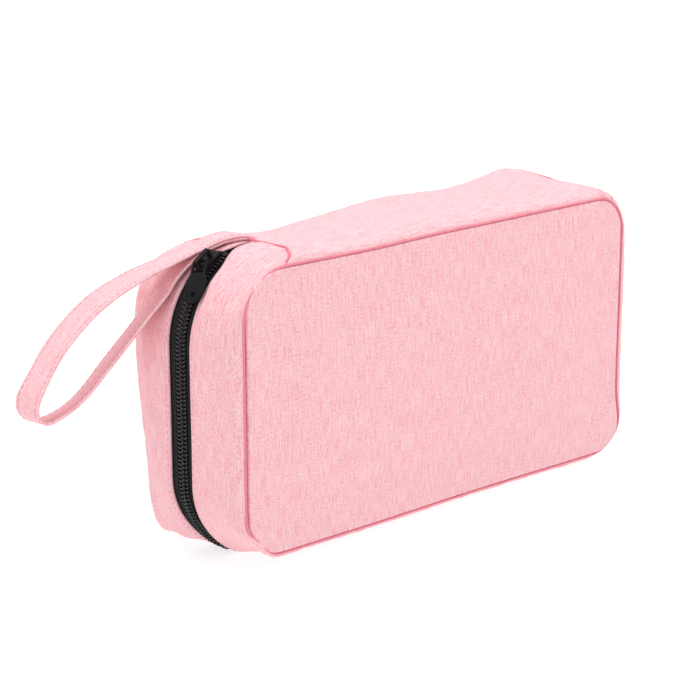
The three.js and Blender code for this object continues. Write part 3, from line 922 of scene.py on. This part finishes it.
def panel_seam(half):
    """The thread that shows in the groove between a panel and its gusset and spine. It fills the
    groove, and its dark colour is painted shade of the groove.
    """
    stations, _ = places(0, SPINE_TO, CLOTH_STEP)
    y, inset = SEAM_THREAD["y"], SEAM_THREAD["inset"]
    line = settle(band_grid(stations, [(y, inset)], half))[:, 0]
    name = HALVES[half]
    row = tubes(f"{name}_panel_seam_thread", [line], SEAM_THREAD["radius"], 6, THREAD_PAINTED_SHADE)
    fit(row, f"{name}_half", "outer_fabric")


def seam_binding(half):
    """Bound edge of the inner seam: a soft tape folded over the raw edges."""
    stations, lengths = places(0, 7, 2.5 * MM)
    angles = once_round(16)
    y = BINDING["y"] + BINDING["half_y"] * np.cos(angles)
    inset = BINDING["inset"] + BINDING["half_inset"] * squarish(np.sin(angles), 0.6)
    rings = settle(band_grid(stations, list(zip(y, inset)), half))
    name = HALVES[half]
    piece = loft(f"{name}_seam_tape", rings, cloth_map(angles * MM, lengths), ELASTIC)
    fit(piece, f"{name}_half", "elastic", f"{name}_seam_binding")


# ---- Zip ----


def coil_reach(half):
    """Where one row of coil teeth starts along the zip, and how many turns it has."""
    start = np.interp(corner_place(0, COIL_FROM), RUNS, ALONG)
    stop = np.interp(corner_place(6, 360 + COIL_TO), RUNS, ALONG)
    turns = int((stop - start - COIL["pitch"]) / COIL["pitch"])
    return start + (COIL["pitch"] / 2 if half == REAR else 0), turns


def beside_zip(half, points):
    """A settled line of points, each with its length along the zip, and its |y| and inset in mm."""
    line = []
    for length, y, inset in points:
        line.append(on_outline(np.interp(length, ALONG, RUNS), half * y * MM, inset * MM))
    return settle(np.array(line))


def coil_teeth(half):
    """One row of coil teeth: a flattened nylon spring."""
    start, turns = coil_reach(half)
    points = []
    for step in range(turns * COIL_STEPS + 1):
        angle = 2 * math.pi * step / COIL_STEPS
        length = start + COIL["pitch"] * step / COIL_STEPS
        y = COIL["mid_y"] + COIL["half_y"] * math.cos(angle)
        points.append((length, y, COIL["mid"] - COIL["half"] * math.sin(angle)))
    name = HALVES[half]
    piece = tubes(f"{name}_coil_teeth", [beside_zip(half, points)], COIL["wire"], 6, NYLON)
    fit(piece, f"{name}_half", "nylon", f"{name}_coil")


def chain_stitch(half):
    """The chain stitch that sews one row of teeth to its tape."""
    start, turns = coil_reach(half)
    bow = CHAIN_STITCH["bow"]
    part = np.linspace(0.05, 0.95, len(bow))
    stitches = []
    for number in range(turns):
        lengths = start + COIL["pitch"] * (number + part)
        points = [(length, CHAIN_STITCH["y"], inset) for length, inset in zip(lengths, bow)]
        stitches.append(beside_zip(half, points))
    name = HALVES[half]
    row = tubes(f"{name}_chain_stitch", stitches, CHAIN_STITCH["radius"], 5, TAPE)
    fit(row, f"{name}_half", "nylon")


def slider_frame():
    angle = math.radians(SLIDER_DEG)
    out = Vector((math.cos(angle), 0, math.sin(angle)))
    down = Vector((-math.sin(angle), 0, math.cos(angle)))
    centre = Vector((-(ZIP["half"] - ZIP["left_r"]), 0, ZIP["top"] - ZIP["left_r"]))
    place = Matrix((down, Vector((0, -1, 0)), out)).transposed().to_4x4()
    place.translation = centre + out * ZIP["left_r"]
    return place


def arc(cx, cy, radius, start, stop, count):
    angles = np.radians(np.linspace(start, stop, count))
    return [(cx + radius * math.cos(a), cy + radius * math.sin(a)) for a in angles]


def pull_loops():
    """The pull from above, in mm from its pivot: its outline, its eye for the bail and its hole."""
    neck, half, shoulder = PULL["neck"], PULL["half"], PULL["shoulder"]
    start, end, eye = PULL_EYE["start"], PULL_EYE["end"], PULL_EYE["half"]
    outer = [(-0.5, -neck), (end, -neck), (shoulder, -half)]
    outer += arc(PULL["length"] - half, 0, half, -90, 90, 25)
    outer += [(shoulder, half), (end, neck), (-0.5, neck)]
    hole = arc(PULL["length"] - PULL_HOLE["from_end"], 0, PULL_HOLE["radius"], 0, 345, 24)
    return outer, [(start, -eye), (start, eye), (end, eye), (end, -eye)], hole


def bevelled_plate(loops, thickness, bevel):
    """The mesh of a flat plate with bevelled edges. The first loop is its edge."""
    curve = bpy.data.curves.new("pull_outline", "CURVE")
    curve.dimensions = "2D"
    curve.fill_mode = "BOTH"
    curve.extrude = (thickness / 2 - bevel) * MM
    curve.bevel_depth = bevel * MM
    curve.offset = -bevel * MM
    curve.bevel_resolution = 2
    for loop in loops:
        spline = curve.splines.new("POLY")
        spline.points.add(len(loop) - 1)
        for point, (x, y) in zip(spline.points, loop):
            point.co = (x * MM, y * MM, 0, 1)
        spline.use_cyclic_u = True
    shape = add_object("pull_outline", curve)
    bpy.context.view_layer.update()
    graph = bpy.context.evaluated_depsgraph_get()
    mesh = bpy.data.meshes.new_from_object(shape.evaluated_get(graph))
    bpy.data.objects.remove(shape)
    bpy.data.curves.remove(curve)
    return mesh


def pull_tab():
    """The pull: a tapered tab with a raised rim, lying askew on the zip."""
    pose = Matrix.Translation(PULL_PIVOT)
    pose = pose @ Matrix.Rotation(PULL_SKEW, 4, "Z") @ Matrix.Rotation(PULL_DIP, 4, "Y")
    world = slider_frame() @ pose
    mesh = bevelled_plate(pull_loops(), PULL["thickness"], PULL["bevel"])
    mesh.transform(world)
    mesh.materials.clear()
    mesh.materials.append(LACQUER)
    mesh.shade_smooth()
    mesh.set_sharp_from_angle(angle=math.radians(40))
    fit(add_object("pull_tab", mesh), "puller", "slider_metal", "puller")
    half, shoulder, inset = PULL["half"], PULL["shoulder"], PULL_RIM["inset"]
    line = [(shoulder - 1.5, -half + 1.0), (shoulder, -half + inset)]
    line += arc(PULL["length"] - half, 0, half - inset, -90, 90, 25)
    line += [(shoulder, half - inset), (shoulder - 1.5, half - 1.0)]
    rim = [tuple(world @ Vector((x * MM, y * MM, PULL["thickness"] / 2 * MM))) for x, y in line]
    fit(tubes("pull_rim", [rim], PULL_RIM["radius"], 8, LACQUER), "puller", "slider_metal")


def finish_metal():
    """The slider and the stops keep their CAD shape and get black lacquer."""
    stops = [f"{name}_{kind}_stop" for name in HALVES.values() for kind in ("top", "end")]
    for node in ["slider_body", "slider_bail"] + stops:
        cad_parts[node].material_slots[0].material = LACQUER


# ---- Wrist strap ----


def smooth_line(points, count):
    """Evenly spaced points on a Catmull-Rom curve through the given ones."""
    points = np.array(points, float)
    padded = np.concatenate([[2 * points[0] - points[1]], points, [2 * points[-1] - points[-2]]])
    dense = []
    for i in range(len(points) - 1):
        p0, p1, p2, p3 = padded[i : i + 4]
        for t in np.linspace(0, 1, 24, endpoint=False):
            curve = 2 * p1 + (p2 - p0) * t + (2 * p0 - 5 * p1 + 4 * p2 - p3) * t**2
            dense.append(0.5 * (curve + (3 * p1 - p0 - 3 * p2 + p3) * t**3))
    dense = np.array(dense + [points[-1]])
    lengths = track(dense)
    even = np.linspace(0, lengths[-1], count)
    return np.stack([np.interp(even, lengths, column) for column in dense.T], 1), even


def strap_line():
    """The strap's centre line: two legs that follow the round corner, and the free loop."""
    radius, top = ZIP["left_r"] / MM, ZIP["top"] / MM
    corner_x, corner_z = -(ZIP["half"] / MM - radius), top - radius
    side = STRAP_WIDTH / MM * math.sin(STRAP_TURN)
    centre = (STRAP_ROOT[0] / MM - corner_x + side) / math.cos(STRAP_TURN)

    def on_corner(degrees, lift):
        angle = math.radians(degrees)
        out = centre - (radius + lift) * math.cos(angle)
        return (out, corner_z + (radius + lift) * math.sin(angle))

    upper = [(-2, top + STRAP_LIFT["upper"] - 1.6)]
    upper += [on_corner(a, STRAP_LIFT["upper"]) for a in STRAP_UPPER_DEG]
    lower = [(-2, top + STRAP_LIFT["lower"] - 1.2)]
    lower += [on_corner(a, STRAP_LIFT["lower"]) for a in STRAP_LOWER_DEG]
    return smooth_line(upper + STRAP_LOOP + lower[::-1], STRAP_STEPS)


def strap_twist(lengths):
    """How far the strap is turned about its own length, at each place along it."""
    part = lengths[:, None] / lengths[-1]
    hanging = smooth(part, 0.42, 0.58) * (1 - smooth(part, 0.72, 0.94))
    return hanging * math.radians(STRAP_TWIST_DEG)


def wrist_strap():
    """A folded and topstitched strip of the same cloth, in a loop that hangs from the seam."""
    line, lengths = strap_line()
    out = np.array((-math.cos(STRAP_TURN), math.sin(STRAP_TURN), 0))
    across = np.array((math.sin(STRAP_TURN), math.cos(STRAP_TURN), 0))
    up = np.array((0, 0, 1.0))
    root = np.array((STRAP_ROOT[0], STRAP_ROOT[1], 0))
    centres = root + (line[:, :1] * out + line[:, 1:] * up) * MM
    slopes = directions(line)
    straight = -slopes[:, 1:] * out + slopes[:, :1] * up
    twist = strap_twist(lengths)
    normals = straight * np.cos(twist) - across * np.sin(twist)
    wide = across * np.cos(twist) + straight * np.sin(twist)
    width = STRAP_WIDTH / MM
    at = np.array(STRAP_ACROSS)
    v = np.concatenate([at, (width - at[:-1])[::-1]])
    edge = np.minimum(v, width - v)
    groove = bell(edge, STRAP_SEAM["in"], STRAP_SEAM["width"])
    thick = STRAP_HALF_THICK * round_edge(edge, 0.8, least=0.02) - STRAP_SEAM["depth"] * groove
    wave = wrinkle(lengths[:, None] / 7, v[None, :] / 6, SEEDS["strap"]) * 0.12 * MM
    far = v[None, :, None] * MM * wide[:, None]
    top = centres[:, None] + far + normals[:, None] * (thick[None, :] + wave)[..., None]
    low = centres[:, None] + far - normals[:, None] * (thick[None, :] - wave)[..., None]
    cloth = cloth_map(v * MM, lengths * MM)
    piece = shell("wrist_strap_loop", settle(top), settle(low), cloth, MELANGE)
    rows = []
    for edge_at in (STRAP_SEAM["in"], width - STRAP_SEAM["in"]):
        for side in (1, -1):
            offset = side * (STRAP_HALF_THICK - THREAD)
            path = settle(centres + edge_at * MM * wide + normals * offset)
            rows += stitch_paths(path[6:-6], normals[6:-6] * side)
    thread = tubes("wrist_strap_stitches", rows, THREAD, 6, THREAD_PINK)
    for part in (piece, thread):
        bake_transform(part)
    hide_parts("wrist_strap")


# ---- Inside ----


def elastic_loops():
    """Ribbed elastic along the rear lining, arched out into loops for cables."""
    count, pitch = LOOPS["count"], LOOPS["width"] + 2 * LOOPS["sheet"] + LOOPS["tack"]
    flat_end = (count * pitch + LOOPS["tack"]) / 2
    path = [(-flat_end, 0.0), (-flat_end + 3, 0.0)]
    for i in range(count):
        x = (i - (count - 1) / 2) * pitch
        for a in np.linspace(math.pi, 0, 21):
            path.append((x + LOOPS["width"] / 2 * math.cos(a), LOOPS["depth"] * math.sin(a)))
    path += [(flat_end - 3, 0.0), (flat_end, 0.0)]
    path = np.array(path)
    slope = directions(path)
    side = np.stack([-slope[:, 1], slope[:, 0]], 1)
    z = np.linspace(-0.5, 0.5, 50) * LOOPS["height"]
    ribs = 0.12 * np.sin(2 * math.pi * z / RIB)
    edge = LOOPS["height"] / 2 - np.abs(z)
    thick = 0.42 * round_edge(edge, 0.6, share=0.98) + ribs * (edge > 0.3)

    def face(sign):
        depth = path[:, None] + side[:, None] * (0.5 + sign * thick)[None, :, None]
        height = np.broadcast_to(LOOPS["z"] + z[None, :], depth.shape[:2])
        return np.stack([depth[..., 0], LINING_FACE - depth[..., 1], height], -1) * MM

    cloth = np.stack(np.broadcast_arrays(path[:, :1] * MM, z[None, :] * MM), -1)
    piece = shell("elastic_cable_loops", face(1), face(-1), cloth, ELASTIC)
    fit(piece, "rear_half", "elastic", "elastic_loops")


def pocket_bellows():
    """The soft edge that holds the net off the front lining, round three sides."""
    half, low, high = POCKET["half"], POCKET["low"], POCKET["high"]
    inner, bend = POCKET["edge"] / 2, POCKET["bend"]
    line = [(-half + inner, high)]
    line += arc(-half + inner + bend, low + inner + bend, bend, 180, 270, 9)
    line += arc(half - inner - bend, low + inner + bend, bend, 270, 360, 9)
    line += [(half - inner, high)]
    line = np.array(line)
    slope = directions(line)
    angles = once_round(20)
    wide = squarish(np.cos(angles), 0.35) * inner
    deep = squarish(np.sin(angles), 0.35) * POCKET["depth"] / 2
    x = line[:, :1] - slope[:, 1:] * wide[None, :]
    z = line[:, 1:] + slope[:, :1] * wide[None, :]
    y = (POCKET_FRONT - LINING_FACE) / 2 + np.broadcast_to(deep[None, :], x.shape)
    cloth = cloth_map(angles * MM, np.arange(len(line)) * MM)
    rim = loft("pocket_bellows", np.stack([x, y, z], -1) * MM, cloth, ELASTIC)
    fit(rim, "front_half", "elastic", "pocket_edge")


def pocket_net():
    """Two crossing rows of net yarns."""
    low, width = POCKET["low"], 2 * POCKET["half"]
    reach = POCKET["high"] - POCKET["hem"] - low
    paths = []
    for lean in (1, -1):
        for offset in np.arange(-reach, width, NET_STEP):
            first, last = max(0.0, -offset), min(reach, width - offset)
            if last - first < 2:
                continue
            t = np.linspace(first, last, max(3, int((last - first) / NET_STEP) * 4))
            x = lean * (offset + t - POCKET["half"]) + 0.3 * np.sin(2 * math.pi * t / NET_STEP)
            y = np.full_like(t, POCKET_FRONT + 0.5 + 0.18 * lean)
            paths.append(np.stack([x, y, low + t], 1) * MM)
    net = tubes("pocket_net_yarns", paths, NET_WIRE, 4, NET)
    fit(net, "front_half", "net", "pocket_net")


def pocket_hem():
    """The gathered elastic along the pocket's top."""
    half, hem = POCKET["half"], POCKET["hem"]
    x = np.linspace(-half, half, 96)
    angles = once_round(28)
    bulge = 0.9 * squarish(np.sin(angles), 0.5)
    rise = hem / 2 * squarish(np.cos(angles), 0.4)
    gather = 1 + 0.12 * np.sin(2 * math.pi * x / 3.1)
    ring_x = np.broadcast_to(x[:, None], (len(x), len(angles)))
    ring_y = POCKET_FRONT + 0.9 + gather[:, None] * bulge[None, :]
    ring_z = np.broadcast_to(POCKET["high"] - hem / 2 + rise[None, :], ring_x.shape)
    rings = np.stack([ring_x, ring_y, ring_z], -1) * MM
    piece = loft("pocket_hem_elastic", rings, cloth_map(angles * MM, x * MM), ELASTIC)
    fit(piece, "front_half", "elastic", "pocket_hem")


# ---- Stage ----


def studio():
    """A plain pale floor, a white world and three soft lamps."""
    mesh = bpy.data.meshes.new("studio_floor")
    corners = [(x * FLOOR_REACH, y * FLOOR_REACH, 0) for x, y in ((-1, -1), (1, -1), (1, 1), (-1, 1))]
    mesh.from_pydata(corners, [], [(0, 1, 2, 3)])
    mesh.materials.append(studio_white())
    floor = add_object("studio_floor", mesh)
    floor.location.z = CAD_BOX[0][2] - 0.2 * MM
    world = bpy.data.worlds.new("studio")
    bpy.context.scene.world = world
    world.use_nodes = True
    backdrop = world.node_tree.nodes["Background"]
    backdrop.inputs["Color"].default_value = (1, 1, 1, 1)
    backdrop.inputs["Strength"].default_value = WORLD_STRENGTH
    for name, (place, size, power) in LAMPS.items():
        light = bpy.data.lights.new(name, "AREA")
        light.size = size
        light.energy = power
        lamp = add_object(name, light)
        lamp.location = place
        lamp.rotation_euler = (LAMP_AIM - lamp.location).to_track_quat("-Z", "Y").to_euler()
    bpy.context.scene.view_settings.view_transform = "Standard"


def camera():
    azimuth, elevation = math.radians(CAMERA_AZIMUTH), math.radians(CAMERA_ELEVATION)
    level = math.cos(elevation)
    away = Vector((math.sin(azimuth) * level, -math.cos(azimuth) * level, math.sin(elevation)))
    data = bpy.data.cameras.new("camera")
    data.lens = CAMERA_LENS
    data.sensor_width = CAMERA_SENSOR
    data.clip_start = 0.01
    eye = add_object("camera", data)
    eye.location = CAMERA_TARGET + away * CAMERA_DISTANCE
    eye.rotation_euler = (-away).to_track_quat("-Z", "Y").to_euler()
    bpy.context.scene.camera = eye


# ---- The pouch ----

camera()
studio()
for side in (REAR, FRONT):
    panel_pad(side)
    lining_panel(side)
    gusset_pad(side)
    panel_seam(side)
    seam_binding(side)
    zip_tape(side)
    gusset_lining(side)
    coil_teeth(side)
    chain_stitch(side)
spine_cover()
spine_end_seams()
spine_lining()
pull_tab()
finish_metal()
wrist_strap()
elastic_loops()
pocket_bellows()
pocket_net()
pocket_hem()
